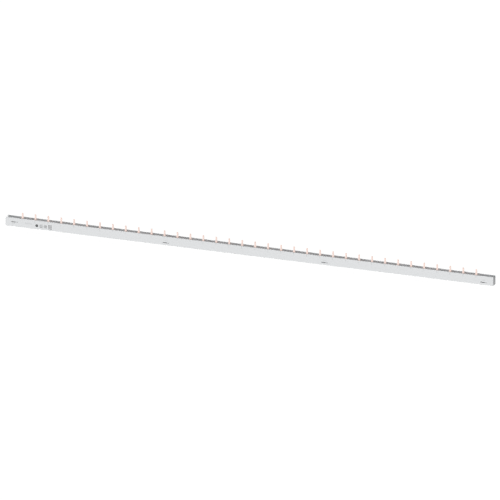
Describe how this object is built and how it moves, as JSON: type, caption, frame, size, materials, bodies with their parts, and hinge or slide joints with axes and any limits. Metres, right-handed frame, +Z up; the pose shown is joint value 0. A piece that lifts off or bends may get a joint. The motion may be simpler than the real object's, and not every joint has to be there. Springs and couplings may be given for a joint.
{
  "type": "comb busbar",
  "caption": "Comb busbar: a long insulating bar with an open channel on top and one row of flat copper pins that link circuit breakers.",
  "frame": {"origin": "middle of the housing's underside", "axes": "+X along the bar to its right end, +Y from the front face, beside the pins, to the back, +Z up along the pins"},
  "size_m": [1.016, 0.013, 0.03],
  "materials": {
    "housing_plastic": "extruded light grey PVC, satin",
    "guide_plastic": "extruded light grey PVC, satin",
    "cap_plastic": "moulded light grey plastic, fine grain",
    "separator_plastic": "off-white insulating strip, satin",
    "copper": "stamped bare copper sheet, pale satin"
  },
  "bodies": {
    "root": {"housing": "housing_plastic", "comb_1": "copper", "comb_2": "copper", "comb_3": "copper", "separator_1": "separator_plastic", "separator_2": "separator_plastic", "pin_guide": "guide_plastic", "end_cap_left": "cap_plastic", "end_cap_right": "cap_plastic"}
  },
  "joints": []
}
